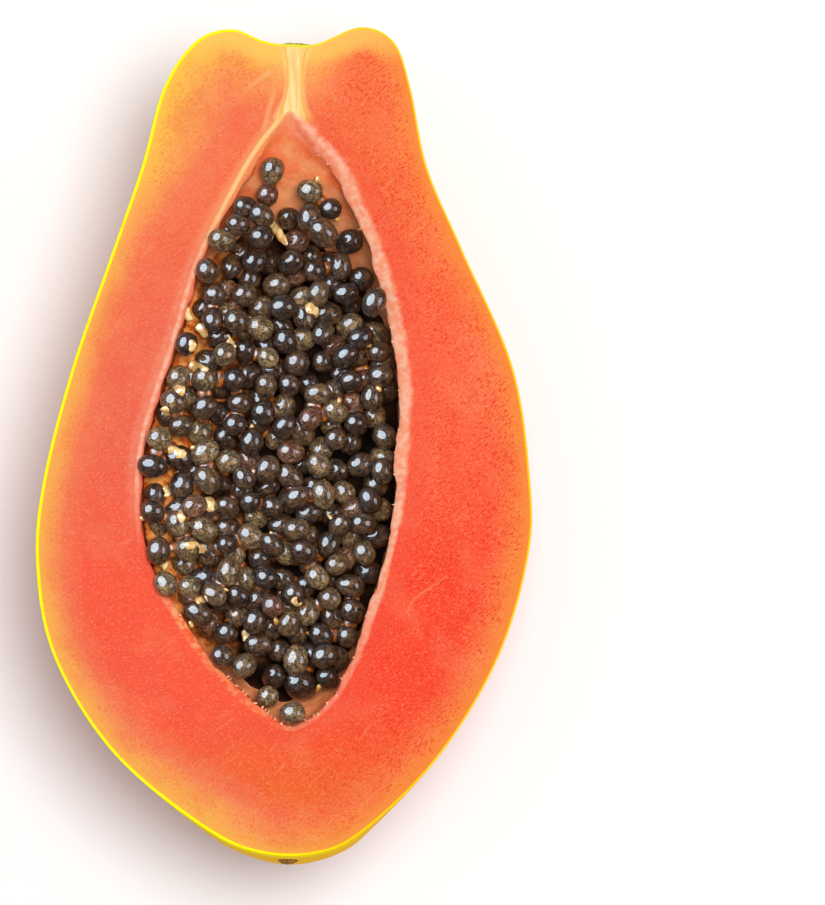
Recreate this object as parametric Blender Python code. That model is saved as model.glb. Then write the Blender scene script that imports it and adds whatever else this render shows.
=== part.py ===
"""Papaya half, cut lengthwise and lying on its skin with the cut face up.

The fruit lies along Y with its stem end at +Y. The whole fruit is lofted first, as it grew, and is
then cut level, set on a small flat where the skin rests, and opened by its seed cavity. The seeds
are one heap that fills the cavity, up to the uneven tops of the outermost seeds.
All lengths are in metres.
"""

import math
import random

import bmesh
import bpy
from mathutils import Vector, noise

# Driving dimensions.
CUT_HEIGHT = 0.0595  # cut face above the surface that the half rests on
AXIS_X = 0.0013  # the left side is the fuller one, so the fruit's axis lies right of its middle
TIP_DROOP = 0.012  # the blossom end bends down this far below the cut face
DROOP_START = -0.045
TIP_STATION = -0.1051
CAVITY_DOME = 0.014  # the cavity's cutter rises this far above the cut face
SEED_GAP = 0.00035  # clearance between the heap of seeds and the cavity's wall
SEED_PITCH = 0.0060
SEED_RADIUS = SEED_PITCH / 2
SEED_LIFT = (-0.0003, 0.0014)  # how far the outermost seeds lie off the heap's level
SEED_HOLLOW = -0.0028  # the deepest that the hollows between them go
SEED_WARP = 0.0028  # how far the seeds lie off an even pattern
WARP_SIZE = 0.016
HEAP_LEVEL = -0.0012  # the heap's level at its middle, over the cut face
HEAP_TILT = -0.095  # it falls this much towards the right
AROUND = 48
STEPS_PER_SPAN = 3

# The fruit's outline, from the stem scar to the blossom tip. Each row is one feature, with the radius
# and the station along Y of the right side, the left side and the underside.
FRUIT = [
    ((0.0000, 0.1008), (0.0000, 0.1008), (0.0000, 0.1008)),  # stem scar
    ((0.0070, 0.1010), (0.0062, 0.1016), (0.0090, 0.1003)),  # foot of the shoulders
    ((0.0180, 0.1051), (0.0145, 0.1046), (0.0180, 0.0985)),  # top of the shoulders
    ((0.0262, 0.1013), (0.0235, 0.1015), (0.0255, 0.0930)),  # outside of the shoulders
    ((0.0303, 0.0900), (0.0314, 0.0900), (0.0305, 0.0830)),
    ((0.0345, 0.0700), (0.0370, 0.0700), (0.0358, 0.0680)),  # neck
    ((0.0430, 0.0500), (0.0450, 0.0469), (0.0440, 0.0475)),
    ((0.0559, 0.0200), (0.0543, 0.0200), (0.0550, 0.0220)),
    ((0.0602, -0.0080), (0.0615, -0.0080), (0.0607, -0.0050)),
    ((0.0598, -0.0270), (0.0633, -0.0290), (0.0585, -0.0300)),  # widest stretch
    ((0.0525, -0.0520), (0.0590, -0.0520), (0.0535, -0.0520)),
    ((0.0385, -0.0760), (0.0445, -0.0760), (0.0405, -0.0750)),
    ((0.0204, -0.0960), (0.0221, -0.0960), (0.0215, -0.0950)),
    ((0.0115, -0.1025), (0.0110, -0.1025), (0.0112, -0.1020)),
    ((0.0000, -0.1051), (0.0000, -0.1051), (0.0000, -0.1051)),  # blossom tip
]

# The seed cavity's rim and floor, in the same form, with the floor's depth in place of the underside.
CAVITY = [
    ((0.0000, 0.0832), (0.0000, 0.0832), (0.0000, 0.0832)),  # apex, under the stem
    ((0.0080, 0.0770), (0.0062, 0.0770), (0.0030, 0.0760)),
    ((0.0170, 0.0656), (0.0130, 0.0656), (0.0085, 0.0640)),
    ((0.0250, 0.0469), (0.0228, 0.0469), (0.0190, 0.0460)),
    ((0.0297, 0.0256), (0.0293, 0.0256), (0.0275, 0.0256)),
    ((0.0308, 0.0030), (0.0365, 0.0030), (0.0315, 0.0030)),
    ((0.0292, -0.0130), (0.0380, -0.0130), (0.0325, -0.0130)),  # widest
    ((0.0258, -0.0290), (0.0362, -0.0290), (0.0310, -0.0290)),
    ((0.0212, -0.0440), (0.0285, -0.0440), (0.0260, -0.0440)),
    ((0.0155, -0.0580), (0.0185, -0.0580), (0.0170, -0.0570)),
    ((0.0085, -0.0670), (0.0080, -0.0670), (0.0080, -0.0660)),
    ((0.0000, -0.0712), (0.0000, -0.0712), (0.0000, -0.0712)),  # blossom end of the cavity
]

# Where the heap sinks below its tilted level: how far, and from where to where along X and along Y.
# No stretch along X means the whole width.
HEAP_DIPS = [
    (0.0045, (-0.012, 0.020), (0.000, 0.050)),  # right, towards the stem
    (0.0040, (-0.002, -0.020), (-0.034, -0.056)),  # left, towards the blossom end
    (0.0030, None, (0.030, 0.060)),
    (0.0200, None, (0.069, 0.083)),  # apex
]


def clear_scene():
    for obj in list(bpy.data.objects):
        bpy.data.objects.remove(obj, do_unlink=True)


def new_collection(name):
    collection = bpy.data.collections.new(name)
    bpy.context.scene.collection.children.link(collection)
    return collection


def fade(value, start, end):
    """0 before start, 1 after end, smooth in between."""
    share = min(1.0, max(0.0, (value - start) / (end - start)))
    return share * share * (3 - 2 * share)


def spline(before, start, end, after, share):
    """A point of the Catmull-Rom curve from start to end."""
    return tuple(
        b + 0.5 * share * (c - a + share * (2 * a - 5 * b + 4 * c - d + share * (3 * (b - c) + d - a)))
        for a, b, c, d in zip(before, start, end, after)
    )


def smooth_line(points, steps):
    """The curve through (radius, station) points whose ends lie on the axis, steps points a span."""
    across = [(-radius, station) for radius, station in points]
    full = [across[1], *points, across[-2]]
    line = [
        spline(*full[span : span + 4], step / steps)
        for span in range(len(points) - 1)
        for step in range(steps)
    ]
    return [*line, points[-1]]


def loft(name, rows, place):
    """A closed mesh through one ring for each station, with a pole at each end."""
    right, left, under = (smooth_line([row[side] for row in rows], STEPS_PER_SPAN) for side in range(3))
    mesh = bmesh.new()
    rings = []
    for stations in zip(right[1:-1], left[1:-1], under[1:-1]):
        angles = [2 * math.pi * step / AROUND for step in range(AROUND)]
        rings.append([mesh.verts.new(place(angle, *stations)) for angle in angles])
    stem = mesh.verts.new(place(0, right[0], left[0], under[0]))
    tip = mesh.verts.new(place(0, right[-1], left[-1], under[-1]))
    for ring, following in zip(rings, rings[1:]):
        for step in range(AROUND):
            beside = (step + 1) % AROUND
            mesh.faces.new((ring[step], ring[beside], following[beside], following[step]))
    for step in range(AROUND):
        beside = (step + 1) % AROUND
        mesh.faces.new((stem, rings[0][beside], rings[0][step]))
        mesh.faces.new((tip, rings[-1][step], rings[-1][beside]))
    bmesh.ops.recalc_face_normals(mesh, faces=mesh.faces)
    return as_object(name, mesh)


def as_object(name, mesh):
    data = bpy.data.meshes.new(name)
    mesh.to_mesh(data)
    mesh.free()
    return bpy.data.objects.new(name, data)


def fruit_point(angle, right, left, under):
    """Round section whose radius turns smoothly from the side's to the underside's."""
    side = right if math.cos(angle) > 0 else left
    level, upright = math.cos(angle) ** 2, math.sin(angle) ** 2
    radius = side[0] * level + under[0] * upright
    station = side[1] * level + under[1] * upright
    bend = max(0.0, (DROOP_START - station) / (DROOP_START - TIP_STATION))
    height = CUT_HEIGHT - TIP_DROOP * bend**2 + radius * math.sin(angle)
    return AXIS_X + radius * math.cos(angle), station, height


def cavity_point(angle, right, left, under, gap=0.0):
    """Wall that falls from the rim as a parabola. Above the cut face the section is a low dome."""
    side = right if math.cos(angle) > 0 else left
    level, upright = math.cos(angle) ** 2, math.sin(angle) ** 2
    radius = max(0.0, side[0] - gap)
    station = (side[1] * level + under[1] * upright) * (1 - gap / CAVITY[0][0][1])
    if math.sin(angle) < 0:
        height = -max(0.0, under[0] - gap) * upright
    else:
        height = CAVITY_DOME * upright * fade(radius, 0, SEED_RADIUS)
    return AXIS_X + radius * math.cos(angle), station, CUT_HEIGHT + height


def heap_point(angle, right, left, under):
    return cavity_point(angle, right, left, under, gap=SEED_GAP)


def heap_level(x, y):
    """Height of the heap over the cut face, without its seeds."""
    level = HEAP_LEVEL + HEAP_TILT * x
    for depth, across, along in HEAP_DIPS:
        level -= depth * fade(y, *along) * (fade(x, *across) if across else 1.0)
    return level


def seed_tops(width, length):
    """Places and heights of the outermost seeds, on an even hexagonal pattern."""
    pick = random.Random(7)
    row_pitch = SEED_PITCH * math.sqrt(3) / 2
    row_count, column_count = math.ceil(length / row_pitch / 2), math.ceil(width / SEED_PITCH / 2)
    return [
        ((column + 0.5 * (row % 2)) * SEED_PITCH, row * row_pitch, pick.uniform(*SEED_LIFT))
        for row in range(-row_count, row_count + 1)
        for column in range(-column_count - 1, column_count + 1)
    ]


def seed_rise(x, y, seeds):
    """Height of the seed that stands highest at a point, or of the hollow beside it."""
    tops = (lift - ((x - seed_x) ** 2 + (y - seed_y) ** 2) / SEED_RADIUS for seed_x, seed_y, lift in seeds)
    return max(SEED_HOLLOW, *tops)


def heap_block():
    """A block whose top is the lumpy upper side of the heap, and which is deeper than the cavity.

    Its top is a lattice of even triangles in which every third point is the top of a seed.
    """
    width = 2 * max(max(right[0], left[0]) for right, left, _ in CAVITY)
    length = 2 * CAVITY[0][0][1]
    cell = SEED_PITCH / 3
    row_height = cell * math.sqrt(3) / 2
    columns, rows = (2 * math.ceil(size / step / 2) for size, step in ((width, cell), (length, row_height)))
    bpy.ops.mesh.primitive_grid_add(x_subdivisions=columns, y_subdivisions=rows, size=1)
    block = bpy.context.object
    block.name = "heap_block"
    seeds = seed_tops(width, length)
    mesh = bmesh.new()
    mesh.from_mesh(block.data)
    for vert in mesh.verts:
        row = round(vert.co.y * rows)
        vert.co = ((vert.co.x * columns + 0.5 * (row % 2)) * cell, row * row_height, 0.0)
    bmesh.ops.triangulate(mesh, faces=mesh.faces, quad_method="SHORT_EDGE")
    for vert in mesh.verts:
        x, y, _ = vert.co
        rise = seed_rise(x, y, seeds)
        warp = noise.noise_vector(Vector((x, y, 0.0)) / WARP_SIZE) * SEED_WARP
        x, y = x + warp.x, y + warp.y
        vert.co = (AXIS_X + x, y, CUT_HEIGHT + heap_level(x, y) + rise)
    lower = bmesh.ops.extrude_face_region(mesh, geom=mesh.faces[:])["geom"]
    for vert in [part for part in lower if isinstance(part, bmesh.types.BMVert)]:
        vert.co.z = 0.0
    bmesh.ops.recalc_face_normals(mesh, faces=mesh.faces)
    mesh.to_mesh(block.data)
    mesh.free()
    return block


def slice_off(obj, height, keep_below):
    """Cuts the object level at a height with one stroke, and closes the cut with a flat face."""
    mesh = bmesh.new()
    mesh.from_mesh(obj.data)
    cut = bmesh.ops.bisect_plane(
        mesh,
        geom=mesh.verts[:] + mesh.edges[:] + mesh.faces[:],
        dist=1e-6,
        plane_co=(0, 0, height),
        plane_no=(0, 0, 1),
        clear_outer=keep_below,
        clear_inner=not keep_below,
    )
    edges = [part for part in cut["geom_cut"] if isinstance(part, bmesh.types.BMEdge)]
    bmesh.ops.contextual_create(mesh, geom=edges)
    bmesh.ops.recalc_face_normals(mesh, faces=mesh.faces)
    mesh.to_mesh(obj.data)
    mesh.free()


def combine(obj, other, operation):
    modifier = obj.modifiers.new(operation.lower(), "BOOLEAN")
    modifier.operation = operation
    modifier.object = other
    modifier.solver = "EXACT"


def as_tool(obj, tools):
    """Puts a cutter where it's seen only as wire."""
    for collection in list(obj.users_collection):
        collection.objects.unlink(obj)
    tools.objects.link(obj)
    obj.display_type = "WIRE"
    obj.hide_render = True


def paint(obj, name, color, roughness):
    material = bpy.data.materials.new(name)
    material.use_nodes = True
    shader = material.node_tree.nodes["Principled BSDF"]
    shader.inputs["Base Color"].default_value = (*color, 1)
    shader.inputs["Roughness"].default_value = roughness
    obj.data.materials.append(material)
    obj.data.shade_smooth()
    obj.data.set_sharp_from_angle(angle=math.radians(40))


def make_flesh(parts, tools):
    """The fruit's wall with its skin, cut level and hollowed by the seed cavity."""
    flesh = loft("flesh", FRUIT, fruit_point)
    parts.objects.link(flesh)
    slice_off(flesh, CUT_HEIGHT, keep_below=True)
    slice_off(flesh, 0.0, keep_below=False)
    cavity = loft("cavity", CAVITY, cavity_point)
    as_tool(cavity, tools)
    combine(flesh, cavity, "DIFFERENCE")
    paint(flesh, "flesh", (0.93, 0.16, 0.06), 0.35)


def make_seeds(parts, tools):
    """The heap of seeds, one solid out to its lumpy outline."""
    seeds = loft("seeds", CAVITY, heap_point)
    parts.objects.link(seeds)
    block = heap_block()
    as_tool(block, tools)
    combine(seeds, block, "INTERSECT")
    paint(seeds, "seeds", (0.03, 0.024, 0.018), 0.2)


def main():
    clear_scene()
    parts = new_collection("papaya_half")
    tools = new_collection("tools")
    make_flesh(parts, tools)
    make_seeds(parts, tools)


main()
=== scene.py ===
import math
import random

import bpy
import numpy as np
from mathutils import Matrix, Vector, noise
from mathutils.bvhtree import BVHTree
from mathutils.kdtree import KDTree


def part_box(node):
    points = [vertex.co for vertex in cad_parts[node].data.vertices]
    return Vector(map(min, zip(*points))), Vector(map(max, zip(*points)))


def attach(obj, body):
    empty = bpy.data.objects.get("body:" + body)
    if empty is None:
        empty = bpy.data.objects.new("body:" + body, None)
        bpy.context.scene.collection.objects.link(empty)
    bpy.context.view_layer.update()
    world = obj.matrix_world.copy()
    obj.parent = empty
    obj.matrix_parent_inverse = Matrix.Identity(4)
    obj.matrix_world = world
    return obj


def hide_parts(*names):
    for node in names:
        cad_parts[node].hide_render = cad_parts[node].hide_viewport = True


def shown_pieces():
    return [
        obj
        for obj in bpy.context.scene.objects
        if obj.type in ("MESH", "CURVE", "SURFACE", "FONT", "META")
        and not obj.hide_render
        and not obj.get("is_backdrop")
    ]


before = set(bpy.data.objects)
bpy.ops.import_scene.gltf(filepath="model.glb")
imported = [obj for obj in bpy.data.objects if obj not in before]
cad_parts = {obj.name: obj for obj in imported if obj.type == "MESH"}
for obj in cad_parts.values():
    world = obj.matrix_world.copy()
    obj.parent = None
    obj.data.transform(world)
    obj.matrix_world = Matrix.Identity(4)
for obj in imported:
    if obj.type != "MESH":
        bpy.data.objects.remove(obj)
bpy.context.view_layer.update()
mm = 0.001
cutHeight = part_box("flesh")[1].z

studio = {
    "cameraHeight": 1.5, "cameraX": 32.1 * mm, "cameraY": -1.25 * mm, "frameHeight": 226.25 * mm,
    "world": 0.45, "floor": 0.93, "floorReach": 3.0,
    "level": 1.15, "sheen": 0.01,  # what the light makes of a colour, and the white that a moist face adds
    # place, size, watts, colour
    "key": ((0.34, 0.26, 1.9), 0.9, 29, (1, 1, 1)),
    "window": ((-0.66, 0.50, 0.92), 1.6, 108, (0.72, 0.86, 1.0)),
    "windowRight": ((0.86, 0.05, 0.70), 0.75, 9, (0.90, 0.90, 1.0)),
    "fleshSheen": ((-0.60, 0.70, 0.90), 0.8, 8, (1, 0.98, 0.94)),
}


class Value:  # a socket that can be added, multiplied and so on
    def __init__(self, tree, socket):
        self.tree, self.socket = tree, socket

    def calc(self, operation, *others):
        return self.tree.add("ShaderNodeMath", {"operation": operation}, dict(enumerate((self, *others))))

    def reversed(self, operation, other):
        return self.tree.add("ShaderNodeMath", {"operation": operation}, {0: other, 1: self})

    def __add__(self, other):
        return self.calc("ADD", other)

    def __sub__(self, other):
        return self.calc("SUBTRACT", other)

    def __rsub__(self, other):
        return self.reversed("SUBTRACT", other)

    def __mul__(self, other):
        return self.calc("MULTIPLY", other)

    def __truediv__(self, other):
        return self.calc("DIVIDE", other)

    def __rtruediv__(self, other):
        return self.reversed("DIVIDE", other)

    def __pow__(self, other):
        return self.calc("POWER", other)

    def __neg__(self):
        return self.calc("MULTIPLY", -1.0)

    __radd__ = __add__
    __rmul__ = __mul__


class Tree:  # a node tree, for a material or for geometry
    def __init__(self, nodes, links):
        self.nodes, self.links = nodes, links

    def place(self, kind, settings=None, sockets=None):
        node = self.nodes.new(kind)
        for key, value in (settings or {}).items():
            setattr(node, key, value)
        for key, value in (sockets or {}).items():
            if isinstance(value, Value):
                self.links.new(value.socket, node.inputs[key])
            else:
                node.inputs[key].default_value = value
        return node

    def add(self, kind, settings=None, sockets=None, out=0):
        return Value(self, self.place(kind, settings, sockets).outputs[out])

    def vector(self, operation, *parts, out=0):
        return self.add("ShaderNodeVectorMath", {"operation": operation}, dict(enumerate(parts)), out)

    def mix(self, factor, first, second, blend="MIX"):
        return self.add("ShaderNodeMix", {"data_type": "RGBA", "blend_type": blend, "clamp_factor": True},
                        {0: factor, 6: first, 7: second}, out=2)

    def step(self, value, low, high):  # eases from 0 at low to 1 at high
        return self.add("ShaderNodeMapRange", {"interpolation_type": "SMOOTHSTEP"},
                        {0: value, 1: low, 2: high})

    def band(self, value, middle, half, soft):  # 1 within half of the middle, 0 past half + soft
        return 1 - self.step((value - middle).calc("ABSOLUTE"), half, half + soft)

    def scaled(self, vector, scale, turn=(0, 0, 0)):
        return self.add("ShaderNodeMapping", None, {0: vector, 2: turn, 3: scale})

    def slanted(self, vector, angle, long):  # for strokes at an angle
        return self.add("ShaderNodeMapping", {"vector_type": "TEXTURE"},
                        {0: vector, 2: (0, 0, angle), 3: (long, 1, 1)})

    def noise(self, vector, scale, detail=3.0, rough=0.5):
        return self.add("ShaderNodeTexNoise", None, {
            "Vector": vector, "Scale": scale, "Detail": detail, "Roughness": rough})


def tint(red, green, blue):  # a screen colour, 0 to 255, as the shader takes it
    shares = (red / 255, green / 255, blue / 255)
    return (*(((c + 0.055) / 1.055) ** 2.4 if c > 10 / 255 else c / 12.92 for c in shares), 1.0)


def lit(red, green, blue):  # the same for a moist surface, whose sheen adds a little white
    dry = [(c - studio["sheen"]) / studio["level"] for c in tint(red, green, blue)[:3]]
    return tuple(min(max(c, 0.002), 1.0) for c in dry) + (1.0,)


class Paint(Tree):  # a material with one Principled shader
    def __init__(self, name, **plain):
        self.material = bpy.data.materials.new(name)
        self.material.use_nodes = True
        super().__init__(self.material.node_tree.nodes, self.material.node_tree.links)
        self.shader = self.nodes["Principled BSDF"]
        for key, value in plain.items():
            self.shader.inputs[key].default_value = value
        self.spot = self.add("ShaderNodeTexCoord", out=3)
        axes = self.place("ShaderNodeSeparateXYZ", None, {0: self.spot})
        self.x, self.y, self.z = (Value(self, socket) for socket in axes.outputs)

    def over(self, weight, tone):  # a layer on the colour so far
        self.colour = self.mix(weight, self.colour, tone)

    def below(self, weight, tone):  # the tone shows where the weight is 0
        self.colour = self.mix(weight, tone, self.colour)

    def read(self, name, out=2):
        return self.add("ShaderNodeAttribute", {"attribute_name": name}, out=out)

    def bump(self, height, distance, strength):
        return self.add("ShaderNodeBump", None, {
            "Height": height, "Distance": distance, "Strength": strength})

    def feed(self, **sockets):
        for key, value in sockets.items():
            self.links.new(value.socket, self.shader.inputs[key.replace("_", " ")])
        return self.material


half = {
    "axisX": 1.3 * mm,  # the fruit's axis, to the right of the middle
    "droop": 12 * mm, "droopStart": -45 * mm, "tipY": -105.1 * mm,  # the blossom end bends down
    "dome": 14 * mm,  # how far the cavity goes on above the cut
    "spine": (-55 * mm, 65 * mm),  # along the axis, where the columns of the mesh start
    "spacing": 1.12 * mm,  # between columns, at the outline
    # radius and place along the fruit of its right, left and under side
    "fruit": [
        ((0.0, 100.8), (0.0, 100.8), (0.0, 100.8)),
        ((7.0, 101.0), (6.2, 101.6), (9.0, 100.3)),
        ((18.0, 105.1), (14.5, 104.6), (18.0, 98.5)),
        ((26.2, 101.3), (23.5, 101.5), (25.5, 93.0)),
        ((30.3, 90.0), (31.4, 90.0), (30.5, 83.0)),
        ((34.5, 70.0), (37.0, 70.0), (35.8, 68.0)),
        ((43.0, 50.0), (45.0, 46.9), (44.0, 47.5)),
        ((55.9, 20.0), (54.3, 20.0), (55.0, 22.0)),
        ((60.2, -8.0), (61.5, -8.0), (60.7, -5.0)),
        ((59.8, -27.0), (63.3, -29.0), (58.5, -30.0)),
        ((52.5, -52.0), (59.0, -52.0), (53.5, -52.0)),
        ((38.5, -76.0), (44.5, -76.0), (40.5, -75.0)),
        ((20.4, -96.0), (22.1, -96.0), (21.5, -95.0)),
        ((11.5, -102.5), (11.0, -102.5), (11.2, -102.0)),
        ((0.0, -105.1), (0.0, -105.1), (0.0, -105.1)),
    ],
    # half width to the right and left and the depth, each with its place along the fruit
    "cavity": [
        ((0.0, 83.8), (0.0, 83.8), (0.0, 83.8)),
        ((3.0, 81.0), (2.4, 81.0), (1.0, 80.4)),
        ((8.6, 75.6), (6.8, 75.6), (2.8, 75.4)),
        ((17.0, 65.6), (13.0, 65.6), (7.0, 64.5)),
        ((25.0, 46.9), (22.8, 46.9), (18.5, 46.5)),
        ((29.7, 25.6), (29.3, 25.6), (27.5, 25.6)),
        ((30.8, 3.0), (36.5, 3.0), (31.5, 3.0)),
        ((29.2, -13.0), (38.0, -13.0), (32.5, -13.0)),
        ((25.8, -29.0), (36.2, -29.0), (31.0, -29.0)),
        ((21.2, -44.0), (28.5, -44.0), (26.0, -44.0)),
        ((15.5, -58.0), (18.5, -58.0), (17.0, -57.0)),
        ((8.5, -67.0), (8.0, -67.0), (8.0, -66.0)),
        ((0.0, -71.2), (0.0, -71.2), (0.0, -71.2)),
    ],
}


def smoothRun(points, steps):  # a curve through the points that meets the axis squarely at both ends
    points = np.array(points) * mm
    flip = np.array([-1, 1])
    run = np.vstack([points[1] * flip, points, points[-2] * flip])
    s = np.linspace(0, 1, steps, endpoint=False)[:, None]
    parts = [b + 0.5 * s * (c - a + s * (2 * a - 5 * b + 4 * c - d + s * (3 * (b - c) + d - a)))
             for a, b, c, d in zip(run, run[1:], run[2:], run[3:])]
    return np.vstack([*parts, points[-1:]])


def loft(rows, steps, around):  # radius and place along the fruit, for each ring and angle
    right, left, under = (smoothRun([row[side] for row in rows], steps)[:, None] for side in range(3))
    angle = np.linspace(0, 2 * math.pi, around, endpoint=False)[None, :, None]
    side = np.where(np.cos(angle) > 0, right, left)
    return side, under, angle[..., 0]


def solidTree(grid):  # a tree to shoot rays at, from rings of points
    rings, around = grid.shape[:2]
    quads = []
    for i in range(0, (rings - 1) * around, around):
        quads += [(i + j, i + k, i + around + k, i + around + j)
                  for j, k in zip(range(around), [*range(1, around), 0])]
    return BVHTree.FromPolygons([tuple(p) for p in grid.reshape(-1, 3)], quads)


def fruitTree():
    side, under, angle = loft(half["fruit"], 22, 200)
    level, upright = np.cos(angle) ** 2, np.sin(angle) ** 2
    radius = side[..., 0] * level + under[..., 0] * upright
    along = side[..., 1] * level + under[..., 1] * upright
    bend = np.maximum(0, (half["droopStart"] - along) / (half["droopStart"] - half["tipY"]))
    z = cutHeight - half["droop"] * bend ** 2 + radius * np.sin(angle)
    return solidTree(np.dstack([half["axisX"] + radius * np.cos(angle), along, z]))


def cavityTree():
    side, floor, angle = loft(half["cavity"], 22, 160)
    level, upright = np.cos(angle) ** 2, np.sin(angle) ** 2
    along = side[..., 1] * level + floor[..., 1] * upright
    depth = np.where(np.sin(angle) > 0, np.minimum(floor[..., 0], half["dome"]), floor[..., 0])
    z = cutHeight + depth * np.sin(angle)
    return solidTree(np.dstack([half["axisX"] + side[..., 0] * np.cos(angle), along, z]))


def shoot(tree, anchor, direction, reach=0.2):  # how far it is to the tree along the direction
    hit = tree.ray_cast(anchor, direction, reach)
    return hit[3] if hit[3] is not None else 0.0


outer, hollow = fruitTree(), cavityTree()


def makeColumns():  # (anchor, direction in the plane of the cut, number of the spine's point), once round
    low, high = half["spine"]
    count = round((high - low) / half["spacing"])
    spine = [Vector((half["axisX"], low + (high - low) * i / count, cutHeight)) for i in range(count + 1)]

    def fan(anchor, first, last, index):  # directions at even steps of the outline
        fine = np.linspace(first, last, 721)
        ends = np.array([(math.cos(a), math.sin(a)) for a in fine])
        ends *= np.array([shoot(outer, anchor, Vector((*e, 0))) for e in ends])[:, None]
        run = np.concatenate([[0], np.cumsum(np.hypot(*np.diff(ends, axis=0).T))])
        steps = round(run[-1] / half["spacing"])
        angles = np.interp(np.arange(1, steps) * run[-1] / steps, run, fine)
        return [(anchor, Vector((math.cos(a), math.sin(a), 0)), index) for a in angles]

    right = [(p, Vector((1, 0, 0)), i) for i, p in enumerate(spine)]
    left = [(p, Vector((-1, 0, 0)), i) for i, p in enumerate(spine)][::-1]
    return (right + fan(spine[-1], 0, math.pi, count) + left
            + fan(spine[0], math.pi, 2 * math.pi, 0)), spine


columns, spine = makeColumns()
anchors = np.array([c[0] for c in columns])
ways = np.array([c[1] for c in columns])
outlineReach = np.array([shoot(outer, c[0], c[1]) for c in columns])
rimReach = np.array([shoot(hollow, c[0], c[1]) for c in columns])
outline = anchors + ways * outlineReach[:, None]
rim = anchors + ways * rimReach[:, None]
print(f"shape: {len(columns)} columns, {len(spine)} points on the spine")


def bowlTilts(rows, ease):  # degrees down from the cut, with neither the cut itself nor straight down
    return 90 * (np.arange(1, rows) / rows) ** ease


def inward(tilt):  # from the wall back to the spine, against a ray tilted down so many degrees
    return -ways * math.cos(math.radians(tilt)) + np.array([0, 0, math.sin(math.radians(tilt))])


def downRow(tree, tilt, floor=None):  # where rays tilted down by so many degrees meet the tree
    flat, down = math.cos(math.radians(tilt)), -math.sin(math.radians(tilt))
    points = []
    for anchor, way, _ in columns:
        direction = Vector((way.x * flat, way.y * flat, down))
        reach = shoot(tree, anchor, direction)
        if floor is not None:
            reach = min(reach, (anchor.z - floor) / -down if down < 0 else reach)
        points.append(anchor + direction * reach)
    return np.array(points)


def keelRow(tree, floor=None):  # straight down from the spine
    reach = [shoot(tree, p, Vector((0, 0, -1))) for p in spine]
    points = np.array([(p.x, p.y, p.z - r) for p, r in zip(spine, reach)])
    if floor is not None:
        points[:, 2] = np.maximum(points[:, 2], floor)
    return points


def link(name, data):  # a new object in the scene
    piece = bpy.data.objects.new(name, data)
    bpy.context.scene.collection.objects.link(piece)
    return piece


def closedPiece(name, points, faces):  # smooth, and facing out whichever way its faces were written
    mesh = bpy.data.meshes.new(name)
    mesh.from_pydata([tuple(p) for p in points], [], faces)
    mesh.validate()
    mesh.polygons.foreach_set("use_smooth", [True] * len(mesh.polygons))
    mesh.calc_loop_triangles()
    corners = [[mesh.vertices[i].co for i in t.vertices] for t in mesh.loop_triangles]
    if sum(a.dot(b.cross(c)) for a, b, c in corners) < 0:
        mesh.flip_normals()
    return link(name, mesh)


def pieceTree(piece):  # a tree to shoot rays at a finished piece
    mesh = piece.data
    return BVHTree.FromPolygons([v.co for v in mesh.vertices], [tuple(p.vertices) for p in mesh.polygons])


def skinOf(name, rows, firstKeel, lastKeel):  # closed, from rings of points shut along a keel at both ends
    count = len(columns)
    points = np.vstack([firstKeel, *rows, lastKeel])
    base = len(firstKeel)
    last = base + len(rows) * count
    keel = [c[2] for c in columns]
    faces = []
    for j in range(count):
        k = (j + 1) % count
        for row in range(len(rows) - 1):
            low = base + row * count
            faces.append((low + j, low + k, low + count + k, low + count + j))
        for start, ring, turned in ((0, base, False), (last, base + (len(rows) - 1) * count, True)):
            face = [start + keel[j], start + keel[k], ring + k, ring + j]
            if keel[j] == keel[k]:
                face.pop(0)
            faces.append(tuple(face[::-1] if turned else face))
    return closedPiece(name, points, faces), points


def writeField(piece, name, values):
    field = piece.data.attributes.new(name, "FLOAT", "POINT")
    field.data.foreach_set("value", np.asarray(values, np.float32))


def rough(points, size, seed, octaves=3):  # smooth noise, about -1 to 1, that changes over the size
    shift = Vector((seed * 7.31, seed * 3.17, seed * 1.73))
    return np.array([noise.fractal(Vector(p) / size + shift, 0.8, 2.1, octaves) for p in points])


def finish(piece, slotName, *nodes):
    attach(piece, "root")
    if nodes:
        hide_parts(*nodes)
    print(f"{piece.name}: {sum(len(p.vertices) - 2 for p in piece.data.polygons)} triangles")


skin = {
    "thickness": 0.85 * mm, "rightThickness": 0.6 * mm,
    "edgeRound": 0.12 * mm,  # how far the edge at the cut rounds over
    "waves": 0.25 * mm, "waveSize": 26 * mm,
    "rows": 46, "innerRows": 12,
}


def peelWidth():  # the skin is thicker on the left side
    share = np.clip(0.5 + (outline[:, 0] - half["axisX"]) / (60 * mm), 0, 1)
    return skin["thickness"] + (skin["rightThickness"] - skin["thickness"]) * share


def wave(points, weight=1.0):  # slow swells of the skin, none at the cut or where it rests
    fromCut = np.clip((cutHeight - points[:, 2]) / (12 * mm), 0, 1)
    fromFloor = np.clip(points[:, 2] / (9 * mm), 0, 1)
    middle = np.array([half["axisX"], 0, cutHeight])
    out = points - middle
    out[:, 1] *= 0.3
    out /= np.linalg.norm(out, axis=1)[:, None]
    lift = rough(points, skin["waveSize"], 3, 2) * skin["waves"] * fromCut * fromFloor * weight
    return points + out * lift[:, None]


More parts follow.
